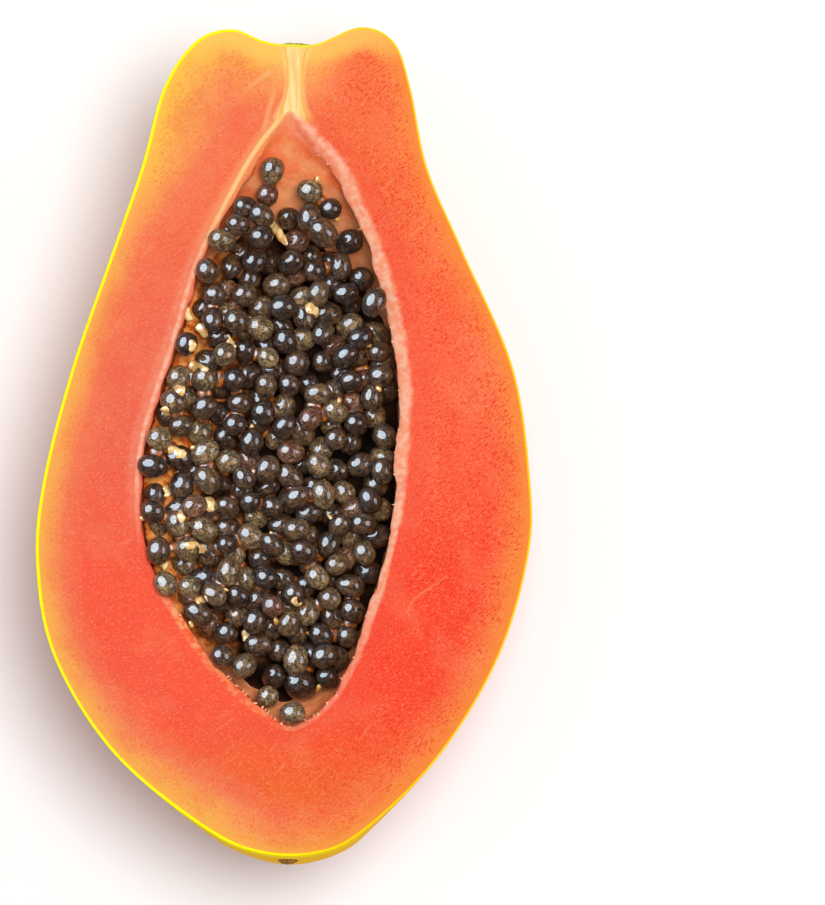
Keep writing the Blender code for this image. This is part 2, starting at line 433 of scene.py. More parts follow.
def buildSkin():
    width = peelWidth()[:, None]
    outside = [wave(downRow(outer, tilt, 0.0)) for tilt in bowlTilts(skin["rows"], 1.12)]
    curve = skin["edgeRound"]
    down = np.array([0, 0, -1.0])
    edge = [outline + down * curve, outline - ways * curve * 0.35 + down * curve * 0.3,
            outline - ways * curve * 1.2, outline - ways * (width - curve),
            outline - ways * width + down * curve]
    inside = [wave(downRow(outer, tilt, 0.0)) + inward(tilt) * width
              for tilt in bowlTilts(skin["innerRows"], 1.1)]
    keel = keelRow(outer, 0.0)
    innerKeel = keel + np.array([0, 0, skin["thickness"]])
    return skinOf("papayaSkin", [*outside[::-1], *edge, *inside], keel, innerKeel)[0]


papayaSkin = buildSkin()
print("skin made")


flesh = {
    "overlap": 0.5,  # share of the skin's thickness that the flesh goes in under it
    "faceRows": 54, "ledgeRows": 6, "bowlRows": 34, "underRows": 10,
    "waves": 0.10 * mm, "waveSize": 7 * mm,
    "edgeSink": 0.04 * mm,  # how far the flesh lies below the cut beside the skin
    "wallWaves": 0.35 * mm, "wallWaveSize": 4 * mm, "ledgeWaves": 0.10 * mm, "ledgeWaveSize": 2.6 * mm,
    "ledgeDrop": 0.8 * mm,  # how far the cavity's soft edge slopes down
    "edgeWander": 0.5 * mm, "edgeSize": 6 * mm,
}


lining = {  # the pale soft lining at the rim, by place along the fruit, in millimetres in from the rim
    "along": [-71, -58, -38, -24, -19, -11, -2, 12, 32, 47, 62, 72, 79, 86],
    "rightInner": [1.2, 1.8, 2.5, 2.2, 2.5, 3.0, 4.3, 3.0, 4.0, 4.0, 4.5, 2.8, 1.8, 1.0],
    "rightOuter": [0.3, 0.3, 0.3, 0.6, 0.3, 0.6, 1.1, 0.0, 0.6, 0.8, 0.9, -0.9, -1.2, -1.5],
    "leftInner": [1.6, 3.0, 2.4, 0.9, 0.8, 0.8, 0.8, 0.8, 0.8, 0.9, 1.2, 1.2, 1.0, 1.0],
    "leftOuter": [0.3, 0.3, 0.3, 0.2, 0.0, 0.0, 0.0, 0.0, -0.2, -0.4, -0.8, -1.0, -1.1, -1.5],
}


def liningEdge(points, edge):  # how far in from the rim the lining starts or ends
    along = points[:, 1] / mm
    right = np.interp(along, lining["along"], lining["right" + edge])
    left = np.interp(along, lining["along"], lining["left" + edge])
    share = np.clip(0.5 + (points[:, 0] - half["axisX"]) / (8 * mm), 0, 1)
    return (left + (right - left) * share) * mm


def buildFlesh():
    width = peelWidth()[:, None]
    skirt = width * flesh["overlap"]
    under = [wave(downRow(outer, tilt, 0.0)) + inward(tilt) * skirt
             for tilt in bowlTilts(flesh["underRows"] + 1, 1)]
    start = outline - ways * skirt
    lip = start + np.array([0, 0, -0.5 * mm])
    share = np.linspace(0, 1, flesh["faceRows"]) ** 1.06
    face = [start + (rim - start) * s for s in share]
    allFace = np.vstack(face)
    edgeEase = np.clip(np.repeat(share, len(columns)) * 6, 0, 1)
    swell = rough(allFace, flesh["waveSize"], 5) * flesh["waves"]
    allFace[:, 2] += swell * edgeEase - flesh["edgeSink"] * (1 - edgeEase)
    face = list(allFace.reshape(flesh["faceRows"], -1, 3))

    wander = rough(rim, flesh["edgeSize"], 9, 4) * flesh["edgeWander"]
    inset = np.maximum(liningEdge(rim, "Inner") + wander, 0.3 * mm)
    lobes = []
    for i in range(1, flesh["ledgeRows"] + 1):
        s = i / flesh["ledgeRows"]
        points = rim - ways * (inset * s)[:, None]
        points[:, 2] -= flesh["ledgeDrop"] * np.clip(inset / (3 * mm), 0.25, 1) * s ** 1.8
        points[:, 2] += rough(points, flesh["ledgeWaveSize"], 11) * flesh["ledgeWaves"]
        lobes.append(points)
    bowl = []
    tilts = bowlTilts(flesh["bowlRows"] + 1, 1.15)
    for tilt in tilts:
        points = downRow(hollow, tilt)
        depth = cutHeight - points[:, 2]
        room = inset * np.exp(-np.maximum(depth - 1 * mm, 0) / (7 * mm)) + 0.1 * mm
        room *= 1 - (tilt / 90) ** 2
        points -= ways * room[:, None]
        points[:, 2] = np.minimum(points[:, 2], lobes[-1][:, 2] - 0.3 * mm * (tilt / tilts[0]) ** 0.7)
        points += inward(tilt) * (rough(points, flesh["wallWaveSize"], 17) * flesh["wallWaves"])[:, None]
        bowl.append(points)
    bottom = keelRow(hollow)
    bottom[:, 2] += rough(bottom, flesh["wallWaveSize"], 17) * flesh["wallWaves"]
    outerKeel = keelRow(outer, 0.0) + np.array([0, 0, 0.5 * skin["thickness"]])
    return *skinOf("papayaFlesh", [*under[::-1], lip, *face, *lobes, *bowl], outerKeel, bottom), lobes[-1]


papayaFlesh, fleshPoints, ledgeEdge = buildFlesh()


def lineTree(points):  # for the distance to a line of points
    tree = KDTree(len(points))
    for i, p in enumerate(points):
        tree.insert((p[0], p[1], 0), i)
    tree.balance()
    return tree


def closedRun(points, fine=6):  # a ring of points with more between
    nextPoints = np.roll(points, -1, axis=0)
    return np.vstack([points + (nextPoints - points) * s for s in np.linspace(0, 1, fine, endpoint=False)])


def fromLine(tree, points):
    return np.array([tree.find((p[0], p[1], 0))[2] for p in points])


column = {  # the pale core between the stem's notch and the cavity, in millimetres: along, middle, half width
    "along": [80.0, 82.5, 85.0, 87.5, 91.0, 96.9, 100.4, 104.0],
    "middle": [2.4, 2.4, 2.3, 2.5, 2.7, 2.7, 3.1, 3.4],
    "half": [5.2, 4.4, 3.3, 2.6, 2.2, 2.6, 3.7, 6.0],
}


def fieldsOfFlesh():
    outlineTree, rimTree = lineTree(closedRun(outline)), lineTree(closedRun(rim))
    first = len(spine) + (flesh["underRows"] + 1) * len(columns)
    inner = first + flesh["faceRows"] * len(columns)
    underSkin = fromLine(outlineTree, fleshPoints) / mm
    offRim = fromLine(rimTree, fleshPoints) / mm
    offRim[inner:] *= -1
    underSkin[:first] = 0
    start, end = liningEdge(fleshPoints, "Outer") / mm, liningEdge(fleshPoints, "Inner") / mm
    along = fleshPoints[:, 1] / mm
    middle, breadth = (np.interp(along, column["along"], column[key]) for key in ("middle", "half"))
    writeField(papayaFlesh, "underSkin", underSkin)
    writeField(papayaFlesh, "offRim", offRim)
    writeField(papayaFlesh, "acrossLining", (-offRim - start) / (end - start))
    writeField(papayaFlesh, "acrossColumn", (fleshPoints[:, 0] / mm - middle) / breadth)


fieldsOfFlesh()
print("flesh made")


heap = {
    "radius": (2.85 * mm, 3.75 * mm), "middling": 3.3 * mm,  # half width of a seed
    "long": (1.02, 1.26),  # how much longer it is than wide
    "level": -1.2 * mm, "tilt": -0.095,  # the heap's top at the axis, and how it falls towards the right
    "lift": (-0.5 * mm, 2.6 * mm), "usualLift": 1.0 * mm,  # how far the top seeds may stand over that
    "squeeze": 0.95,  # soft seeds lie this much closer than round ones would
    "coreDrop": 10 * mm, "coreClear": 0.35 * mm, "corePitch": 5.2 * mm, "coreLump": 1.6 * mm,
    "coreRise": 3.0 * mm,  # how much higher the core stands at the left wall
    "taper": 0.035, "lumps": (0.55 * mm, 2.6 * mm),  # the seed's shape: how tapered, lumps' height and size
    "cell": 0.5 * mm, "tries": 4200, "most": 560, "seed": 11,
    "strides": (2.4 * mm, 1.6 * mm, 1.6 * mm, 1.0 * mm, 0.7 * mm, 0.5 * mm, 0.3 * mm),
    # dips in the heap: depth, where across, where along
    "dips": [
        (2.6 * mm, (-12 * mm, 20 * mm), (0.0, 50 * mm)),
        (4.0 * mm, (-2 * mm, -20 * mm), (-34 * mm, -56 * mm)),
        (3.0 * mm, None, (30 * mm, 60 * mm)),
        (20.0 * mm, None, (70 * mm, 84 * mm)),
    ],
    # seeds set one by one where the heap's outline shows, in millimetres: across, along, half width
    "placed": [
        (-3.0, 69.2, 3.3), (-4.3, 63.2, 3.1), (6.4, 64.2, 3.2), (-9.6, 60.2, 2.9),
        (11.4, 59.8, 3.0), (-5.6, 58.0, 3.1), (1.0, 57.6, 3.0), (6.3, 57.6, 3.3),
        (-11.6, 55.8, 3.2), (-5.7, 52.9, 3.2), (9.8, 53.6, 3.6), (16.2, 51.6, 3.4),
        (19.3, 42.4, 3.4), (22.6, 36.4, 3.3), (2.1, -66.5, 3.3), (4.2, -59.6, 4.2),
        (-2.6, -57.4, 3.4), (-31.0, 2.2, 3.3), (-32.8, -4.6, 3.3), (-32.4, -12.0, 3.2),
        (-31.6, -19.4, 3.0), (-31.4, -25.8, 3.3), (-29.6, -34.0, 3.1), (-24.4, -37.0, 3.1),
        (-19.4, -44.0, 3.3), (-15.4, -52.4, 3.0), (-10.0, -54.6, 3.2), (-24.4, 25.8, 3.1),
        (-19.2, 44.2, 3.2), (-15.4, 51.8, 3.2),
    ],
}


def heapLevel(x, y):  # height of the heap's top over the cut
    across = x - half["axisX"]
    level = heap["level"] + heap["tilt"] * across
    for depth, side, along in heap["dips"]:
        ease = np.clip((y - along[0]) / (along[1] - along[0]), 0, 1)
        if side:
            ease = ease * np.clip((across - side[0]) / (side[1] - side[0]), 0, 1)
        level = level - depth * ease * ease * (3 - 2 * ease)
    return level


def groundUnderHeap():  # height on a grid of what seeds lie on, grown by a middling seed's radius
    tree = pieceTree(papayaFlesh)
    cell = heap["cell"]
    low, high = rim.min(axis=0)[:2] - 8 * mm, rim.max(axis=0)[:2] + 8 * mm
    shape = tuple(np.ceil((high - low) / cell).astype(int))
    ground = np.full(shape, cutHeight)
    start = cutHeight + 20 * mm
    for i in range(shape[0]):
        for j in range(shape[1]):
            x, y = low[0] + i * cell, low[1] + j * cell
            ground[i, j] = start - shoot(tree, Vector((x, y, start)), Vector((0, 0, -1)))
    xs, ys = np.meshgrid(*(low[k] + np.arange(shape[k]) * cell for k in range(2)), indexing="ij")
    ground = np.maximum(ground, cutHeight + heapLevel(xs, ys) - heap["coreDrop"])
    radius = heap["middling"]
    reach = int(radius / cell)
    grown = np.full(shape, -1.0)
    for i in range(-reach, reach + 1):
        for j in range(-reach, reach + 1):
            far = math.hypot(i, j) * cell
            if far < radius:
                moved = np.roll(ground, (i, j), axis=(0, 1)) + math.sqrt(radius ** 2 - far ** 2)
                grown = np.maximum(grown, moved)
    return grown, low, cell


def dropSeeds():  # one after another, each rolling into the nearest hollow
    draw = random.Random(heap["seed"])
    ground, low, cell = groundUnderHeap()
    balls = np.zeros((heap["most"], 4))
    count = 0

    def restHeight(x, y, radius):
        i, j = (x - low[0]) / cell, (y - low[1]) / cell
        if not (1 < i < ground.shape[0] - 2 and 1 < j < ground.shape[1] - 2):
            return 1.0
        height = ground[round(i), round(j)] + radius - heap["middling"]
        if count:
            near = balls[:count]
            far = (near[:, 0] - x) ** 2 + (near[:, 1] - y) ** 2
            touch = ((near[:, 3] + radius) * heap["squeeze"]) ** 2 - far
            hit = touch > 0
            if hit.any():
                height = max(height, (near[hit, 2] + np.sqrt(touch[hit])).max())
        return height

    for x, y, radius in heap["placed"]:
        x, y, radius = x * mm, y * mm, radius * mm
        balls[count] = x, y, min(restHeight(x, y, radius), cutHeight + 0.8 * mm), radius
        count += 1
    left, right = rim[:, 0].min(), rim[:, 0].max()
    front, back = rim[:, 1].min(), rim[:, 1].max()
    compass = [(math.cos(a * math.pi / 4), math.sin(a * math.pi / 4)) for a in range(8)]
    for _ in range(heap["tries"]):
        if count == heap["most"]:
            break
        radius = draw.triangular(*heap["radius"], heap["middling"])
        x, y = draw.uniform(left, right), draw.uniform(front, back)
        limit = draw.triangular(*heap["lift"], heap["usualLift"])
        z = restHeight(x, y, radius)
        for stride in heap["strides"]:
            moves = [(x + c * stride, y + s * stride) for c, s in compass]
            heights = [restHeight(*move, radius) for move in moves]
            best = int(np.argmin(heights))
            if heights[best] < z:
                (x, y), z = moves[best], heights[best]
        if z + radius < cutHeight + heapLevel(x, y) + limit:
            balls[count] = x, y, z, radius
            count += 1
    return balls[:count, :3], balls[:count, 3]


seedPoints, seedSizes = dropSeeds()
print(f"heap: {len(seedPoints)} seeds")


def buildCore():  # the dark mass under the loose seeds
    drop = heap["coreDrop"]

    def top(points):
        level = cutHeight + heapLevel(points[:, 0], points[:, 1]) - drop
        level = level + heap["coreRise"] * np.clip((-points[:, 0] - 10 * mm) / (16 * mm), 0, 1)
        pitch = heap["corePitch"]
        tall = pitch * 0.866
        lift = np.full(len(points), -1.0)
        for row in (-1, 0, 1, 2):
            j = np.floor(points[:, 1] / tall) + row
            shift = (j % 2) * pitch / 2
            for column in (-1, 0, 1, 2):
                i = np.floor((points[:, 0] - shift) / pitch) + column
                far = np.hypot(points[:, 0] - shift - i * pitch, points[:, 1] - j * tall)
                lift = np.maximum(lift, 1 - (far / (pitch * 0.62)) ** 2)
        return level + lift * heap["coreLump"]

    rows = []
    for tilt in bowlTilts(22, 1.1)[::-1]:
        clear = heap["coreClear"] + 1.0 * mm * math.cos(math.radians(tilt))
        points = downRow(hollow, tilt) + inward(tilt) * clear
        points[:, 2] = np.minimum(points[:, 2], top(points) - 0.3 * mm)
        rows.append(points)
    edge = rows[-1]
    spineRow = np.array([(p.x, p.y, 0) for p in spine])
    keelOf = np.array([c[2] for c in columns])
    for s in np.linspace(0, 1, 40, endpoint=False)[1:]:
        points = edge + (spineRow[keelOf] - edge) * s
        points[:, 2] = top(points)
        rows.append(points)
    topKeel = spineRow.copy()
    topKeel[:, 2] = top(topKeel)
    bottom = keelRow(hollow) + np.array([0, 0, heap["coreClear"]])
    bottom[:, 2] = np.minimum(bottom[:, 2], topKeel[:, 2] - 0.5 * mm)
    return skinOf("seedCore", rows, bottom, topKeel)[0]


seedCore = buildCore()
print("core made")


def seedTree():  # geometry nodes: one seed on each point, turned and sized by the point
    group = bpy.data.node_groups.new("seedHeap", "GeometryNodeTree")
    group.interface.new_socket("Geometry", in_out="INPUT", socket_type="NodeSocketGeometry")
    for name in ("Taper", "Lump Height", "Lump Size"):
        group.interface.new_socket(name, in_out="INPUT", socket_type="NodeSocketFloat")
    group.interface.new_socket("Seed Material", in_out="INPUT", socket_type="NodeSocketMaterial")
    group.interface.new_socket("Geometry", in_out="OUTPUT", socket_type="NodeSocketGeometry")
    tree = Tree(group.nodes, group.links)
    inputs = tree.place("NodeGroupInput")
    points, taper, lumpHeight, lumpSize, finishOf = (Value(tree, socket) for socket in inputs.outputs[:5])
    cube = tree.add("GeometryNodeMeshCube", None, {0: (2, 2, 2), 1: 5, 2: 5, 3: 5})
    position = tree.add("GeometryNodeInputPosition")
    ball = tree.vector("NORMALIZE", position)
    height = Value(tree, tree.place("ShaderNodeSeparateXYZ", None, {0: ball}).outputs[2])
    slim = 1 - taper * (height + 1) * (height + 1)
    wide = tree.add("ShaderNodeCombineXYZ", None, {0: slim, 1: slim, 2: 1.0})
    shape = tree.vector("MULTIPLY", ball, wide)
    seed = tree.add("GeometryNodeSetPosition", None, {"Geometry": cube, "Position": shape})
    seed = tree.add("GeometryNodeStoreNamedAttribute", {"data_type": "FLOAT_VECTOR", "domain": "POINT"},
                    {"Geometry": seed, "Name": "onSeed", "Value": shape})
    turn = tree.add("GeometryNodeInputNamedAttribute", {"data_type": "FLOAT_VECTOR"}, {"Name": "turn"})
    size = tree.add("GeometryNodeInputNamedAttribute", {"data_type": "FLOAT_VECTOR"}, {"Name": "size"})
    turned = tree.add("FunctionNodeEulerToRotation", None, {0: turn})
    heapOf = tree.add("GeometryNodeInstanceOnPoints", None,
                      {"Points": points, "Instance": seed, "Rotation": turned, "Scale": size})
    heapOf = tree.add("GeometryNodeRealizeInstances", None, {0: heapOf})
    place = tree.add("GeometryNodeInputPosition")
    normal = tree.add("GeometryNodeInputNormal")
    noiseOf = tree.noise(place, 1 / lumpSize, 2.0)
    lump = tree.add("ShaderNodeVectorMath", {"operation": "SCALE"},
                    {0: normal, 3: (noiseOf - 0.5) * lumpHeight})
    heapOf = tree.add("GeometryNodeSetPosition", None, {"Geometry": heapOf, "Offset": lump})
    heapOf = tree.add("GeometryNodeSetShadeSmooth", None, {"Geometry": heapOf})
    heapOf = tree.add("GeometryNodeSetMaterial", None, {"Geometry": heapOf, "Material": finishOf})
    tree.place("NodeGroupOutput", None, {0: heapOf})
    return group


def scatter(name, group, points, fields, inputs):  # points with fields, grown by the group into a plain mesh
    mesh = bpy.data.meshes.new(name + "Points")
    mesh.from_pydata([tuple(p) for p in points], [], [])
    for key, values in fields.items():
        values = np.asarray(values, np.float32)
        if values.ndim == 2:
            mesh.attributes.new(key, "FLOAT_VECTOR", "POINT").data.foreach_set("vector", values.ravel())
        else:
            mesh.attributes.new(key, "FLOAT", "POINT").data.foreach_set("value", values)
    maker = link(name + "Points", mesh)
    modifier = maker.modifiers.new("grow", "NODES")
    modifier.node_group = group
    sockets = {item.name: item.identifier for item in group.interface.items_tree if item.in_out == "INPUT"}
    for key, value in inputs.items():
        modifier[sockets[key]] = value
    bpy.context.view_layer.update()
    grown = bpy.data.meshes.new_from_object(maker.evaluated_get(bpy.context.evaluated_depsgraph_get()))
    grown.name = name
    maker.modifiers.clear()
    bpy.data.objects.remove(maker)
    return link(name, grown)


def fleshFinish():
    paint = Paint("papayaFlesh", **{"Specular IOR Level": 0.35})
    place, x, y, z = paint.spot, paint.x / mm, paint.y / mm, paint.z / mm
    underSkin, offRim = paint.read("underSkin"), paint.read("offRim")
    acrossLining, acrossColumn = paint.read("acrossLining"), paint.read("acrossColumn")
    cloud, patch = paint.noise(place, 42, 3), paint.noise(place, 150, 3)
    # ripe flesh, by side and place
    right = paint.step(x + (cloud - 0.5) * 30, -22, 34)
    top, foot = paint.step(y, 50, 88), paint.step(-y, 62, 92)
    upper = paint.mix(right, lit(249, 118, 74), lit(249, 108, 58))
    middle = paint.mix(right, lit(243, 106, 80), lit(254, 106, 68))
    lower = paint.mix(right, lit(254, 90, 62), lit(255, 76, 48))
    paint.colour = paint.mix(paint.step(y + (patch - 0.5) * 20, -38, 6), lower, middle)
    paint.over(paint.step(y + (patch - 0.5) * 20, 18, 70), upper)
    paint.over(foot, lit(246, 110, 48))
    # paler and yellower towards the skin
    reach = 0.9 - right * 0.1 + (top * 1.75 + foot * 0.5) * (1 - right)
    depth = underSkin / reach + (cloud - 0.5) * 3.5 + (patch - 0.5) * 2.0
    paint.below(paint.step(depth, 5.5, 15.0), paint.mix(right, lit(248, 126, 84), lit(253, 120, 66)))
    paint.below(paint.step(depth, 2.8, 8.5), paint.mix(right, lit(252, 164, 82), lit(252, 138, 62)))
    nextToSkin = paint.mix(right, paint.mix(top, lit(253, 180, 78), lit(255, 200, 70)), lit(251, 142, 60))
    paint.below(paint.step(depth, 0.2, 4.5), nextToSkin)
    # fine grain: mottling, short red strokes and a few paler ones, long pale fibres
    bend = paint.add("ShaderNodeTexNoise", None, {"Vector": place, "Scale": 70, "Detail": 1.0}, out=1)
    bent = paint.vector("MULTIPLY_ADD", bend, (0.005, 0.005, 0.0), place)
    dash = paint.noise(paint.slanted(bent, 0.75, 2.3), 2200, 2, 0.55)
    fleck = paint.noise(paint.slanted(bent, 0.55, 1.6), 2500, 2, 0.5)
    fibre = paint.noise(paint.slanted(bent, 0.75, 9.0), 760, 1, 0.5)
    deepEnough = paint.step(underSkin, 0.4, 4.0)
    blush = paint.step(paint.noise(bent, 95, 4, 0.62), 0.44, 0.62) * deepEnough
    paint.over(blush * 0.26, paint.mix(right, lit(240, 84, 66), lit(250, 76, 42)))
    paleBlush = paint.step(paint.noise(bent, 70, 3, 0.6), 0.5, 0.66) * deepEnough
    paint.over(paleBlush * 0.22, lit(252, 140, 96))
    crowd = paint.step(paint.noise(place, 210, 2), 0.35, 0.6) * 0.6 + 0.4
    strokes = paint.step(dash, 0.50, 0.61) * deepEnough * crowd * (0.38 + right * 0.4)
    paint.over(strokes, paint.mix(right, lit(246, 74, 34), lit(240, 50, 8)))
    paint.over(paint.step(fleck, 0.54, 0.66) * deepEnough * 0.26, lit(255, 176, 130))
    fibrous = paint.step(fibre, 0.68, 0.76) * paint.step(offRim, 1.0, 4.0) * (1 - paint.step(offRim, 12, 18))
    paint.over(fibrous * 0.35, lit(255, 152, 96))
    # redder flesh beside the rim, then the pale lining
    beside = paint.band(offRim + (patch - 0.5) * 1.5, 2.0, 1.4, 2.2) * right
    paint.over(beside * 0.3, lit(246, 84, 66))
    edge = acrossLining + (paint.noise(place, 300, 4, 0.6) - 0.5) * 0.9
    pale = paint.step(edge, -0.25, 0.3)
    onLeft = 1 - paint.step(x, -2, 3)
    upperHalf = paint.step(y, -30, 0)
    soft = paint.noise(place, 520, 4, 0.6)
    liningTone = paint.mix(paint.step(soft, 0.34, 0.62), lit(252, 154, 118), lit(255, 184, 152))
    blots = paint.step(paint.noise(place, 300, 3), 0.54, 0.66)
    liningTone = paint.mix(blots * 0.5, liningTone, lit(252, 146, 92))
    liningTone = paint.mix(paint.band(soft, 0.55, 0.008, 0.03) * 0.2, liningTone, lit(255, 222, 204))
    thin = paint.band(offRim + (patch - 0.5) * 0.4, 0.15 + paint.step(y, 50, 75) * 0.5, 0.25, 0.5)
    halo = paint.band(offRim, 0.6, 0.6, 2.6) * 0.3
    leftLine = (thin * 0.75 + halo) * upperHalf
    fading = paint.step(acrossLining, 0.2, 0.9) * paint.step(y, 56, 70) * 0.6
    torn = paint.step(-y, 34, 42)
    tornTone = paint.mix(paint.step(soft, 0.4, 0.6), lit(250, 104, 60), lit(255, 172, 112))
    liningTone = paint.mix(torn * onLeft, liningTone, tornTone)
    weight = pale * (1 - onLeft) * (1 - fading) + (leftLine + pale * torn * 1.2) * onLeft
    liningTone = paint.mix(onLeft * paint.step(y, 40, 70), liningTone, lit(255, 204, 130))
    paint.over(weight * (0.35 + 0.65 * paint.step(y, -70, -25)), liningTone)
    # chamber wall below the rim, painted paler with depth: partly the lining's own paler tissue and partly
    # painted light that makes up for the cavity's shade
    wallAndPaintedFill = paint.mix(paint.step(patch, 0.4, 0.66), lit(253, 118, 66), lit(255, 160, 104))
    # painted light: the deeper wall is painted paler to stand in for the light that the cavity's shade takes
    # away
    wallAndPaintedFill = paint.mix(paint.step(cutHeight / mm - z, 2.0, 10) * 0.65, wallAndPaintedFill, tint(255, 172, 116))
    inside = paint.step(cutHeight / mm - z + (patch - 0.5) * 0.8, 0.7, 1.7)
    paint.over(inside, wallAndPaintedFill)
    # the pale core under the stem
    across = acrossColumn.calc("ABSOLUTE")
    core = (1 - paint.step(across + (patch - 0.5) * 0.3, 0.6, 1.35)) * paint.step(offRim, -0.2, 0.9)
    core = core * paint.step(y, 80, 84)
    glow = (1 - paint.step(across, 1.0, 5.5)) * paint.step(y, 84, 98) * 0.55
    paint.over(glow, lit(255, 200, 106))
    under = paint.step(y, 94, 99) * (1 - paint.step(across, 4, 12)) * (1 - paint.step(underSkin, 3.5, 7.5))
    paint.over(under * 0.6, lit(255, 206, 96))
    wisp = (patch - 0.5) * 1.2
    arcOne = paint.band(y - x * 0.69 - 96.3 + wisp, 0.0, 0.2, 0.9) * paint.band(x, -6.2, 1.5, 2.8)
    arcTwo = paint.band(x + 3.0 + (87.4 - y) * 0.257 + wisp, 0.0, 0.2, 0.8) * paint.band(y, 84.5, 3.0, 3.5)
    paint.over((arcOne + arcTwo) * 0.45, lit(255, 190, 124))
    strand = paint.noise(paint.scaled(place, (1.0, 0.12, 1.0)), 900, 2)
    coreTone = paint.mix(paint.step(strand, 0.4, 0.62), lit(253, 208, 124), lit(255, 232, 162))
    coreTone = paint.mix(paint.band(across, 0.8, 0.05, 0.14) * 0.7, coreTone, lit(252, 180, 70))
    paint.over(core * 0.95, coreTone)
    height = dash * -0.5 + fleck * 0.4 + paint.noise(bent, 420, 3) * 1.1
    normal = paint.bump(height, 0.26 * mm, 0.9)
    return paint.feed(Base_Color=paint.colour, Normal=normal, Roughness=0.40 + patch * 0.2)


def skinFinish():
    paint = Paint("papayaSkin", **{"Specular IOR Level": 0.16})
    place, y, z = paint.spot, paint.y / mm, paint.z / mm
    cloud = paint.noise(paint.scaled(place, (1.0, 0.45, 1.0)), 30, 4, 0.55)
    blotch = paint.noise(place, 75, 4, 0.6)
    paint.colour = paint.mix(paint.step(cloud, 0.35, 0.66), tint(236, 140, 34), tint(238, 88, 38))
    paint.over(paint.step(blotch, 0.5, 0.75) * 0.5, tint(226, 110, 20))
    neck = paint.step(y + (cloud - 0.5) * 40, 50, 95)
    paint.over(neck * 0.85, tint(240, 164, 50))
    tip = paint.step(-y + (cloud - 0.5) * 26 + (z - 50) * 0.9, 80, 102)
    paint.over(tip * 0.95, tint(255, 196, 10))
    rind = paint.step(z + (blotch - 0.5) * 2, cutHeight / mm - 3.0, cutHeight / mm - 0.5)
    rightSide = paint.step(paint.x / mm, -20, 30)
    paint.over(rind, paint.mix(rightSide, tint(255, 240, 0), tint(255, 200, 0)))
    fromStem = paint.vector("DISTANCE", place, (3 * mm, 101 * mm, 57 * mm), out=1) / mm
    paint.over((1 - paint.step(fromStem + (blotch - 0.5) * 6, 3.5, 9.5)) * 0.75, tint(222, 216, 60))
    pores = paint.noise(place, 1400, 2)
    paint.over(paint.step(pores, 0.64, 0.72) * 0.4, tint(206, 120, 40))
    spots = paint.step(paint.noise(place, 300, 3, 0.6), 0.66, 0.74)
    paint.over(spots * 0.3, tint(196, 96, 24))
    normal = paint.bump(paint.noise(place, 420, 4) + pores * 0.25, 0.12 * mm, 0.5)
    return paint.feed(Base_Color=paint.colour, Normal=normal, Roughness=0.34 + blotch * 0.2 + tip * 0.4)


def seedFinish(name, dark, light, coat, wetness):
    paint = Paint(name, **{"Coat Roughness": 0.05, "Coat Weight": wetness, "Specular IOR Level": 0.15})
    onSeed, tone = paint.read("onSeed", 1), paint.read("tone")
    apart = paint.add("ShaderNodeCombineXYZ", None, {0: tone * 37, 1: tone * 17, 2: tone * 29})
    place = paint.vector("ADD", onSeed, apart)
    bend = paint.add("ShaderNodeTexNoise", None, {"Vector": place, "Scale": 1.6, "Detail": 2.0}, out=1)
    bent = paint.vector("MULTIPLY_ADD", bend, (0.9, 0.9, 0.9), place)
    # long folds of the seed's coat, and mottling
    folds = paint.noise(paint.scaled(bent, (1.0, 1.0, 0.28)), 4.2, 2, 0.5)
    groove = paint.band(folds, 0.5, 0.015, 0.06)
    crinkle = paint.noise(bent, 5.0, 2, 0.5)
    mottle = paint.noise(bent, 2.1, 3, 0.55)
    cloud = paint.noise(place, 1.1, 2)
    paint.colour = paint.mix(paint.step(cloud + (tone - 0.5) * 0.5, 0.36, 0.66), light, coat)
    paint.over(paint.step(mottle, 0.42, 0.68) * 0.7, dark)
    paint.over(groove * 0.85, dark)
    height = cloud * 1.0 - groove * 0.8 - paint.step(mottle, 0.45, 0.62) * 0.5 + crinkle * 1.9
    normal = paint.bump(height, 0.17 * mm, 0.85)
    return paint.feed(Base_Color=paint.colour, Normal=normal, Roughness=0.3 + mottle * 0.2)


def coreFinish():
    paint = Paint("seedCore", Roughness=0.6)
    place, x = paint.spot, paint.x / mm
    cloud = paint.noise(place, 160, 3)
    amber = paint.step(-x + (cloud - 0.5) * 40, 8, 26)
    paint.colour = paint.mix(paint.step(cloud, 0.35, 0.7), tint(8, 5, 4), tint(40, 22, 12))
    fine = paint.step(paint.noise(place, 420, 3, 0.6), 0.36, 0.64)
    tissue = paint.mix(fine, tint(186, 84, 20), tint(244, 158, 78))
    paint.over(amber * 0.92, tissue)
    normal = paint.bump(paint.noise(place, 500, 4, 0.6), 0.9 * mm, 0.8)
    return paint.feed(Base_Color=paint.colour, Normal=normal)


papayaFlesh.data.materials.append(fleshFinish())
papayaSkin.data.materials.append(skinFinish())
seedCore.data.materials.append(coreFinish())
finish(papayaFlesh, "flesh", "flesh")
finish(papayaSkin, "skin", "flesh")
finish(seedCore, "seeds", "seeds")


seedKinds = {  # share of the heap, dark, usual and light colour, how wet
    "seedsDark": (0.62, tint(13, 8, 6), tint(80, 51, 31), tint(114, 80, 50), 0.95),
    "seedsOlive": (0.31, tint(38, 26, 16), tint(130, 96, 60), tint(168, 136, 92), 0.9),
    "seedsRusty": (0.07, tint(46, 26, 17), tint(128, 78, 50), tint(172, 120, 86), 0.9),
}


def shapeInputs(taper, lumpHeight, lumpSize):
    return {"Taper": taper, "Lump Height": lumpHeight, "Lump Size": lumpSize}


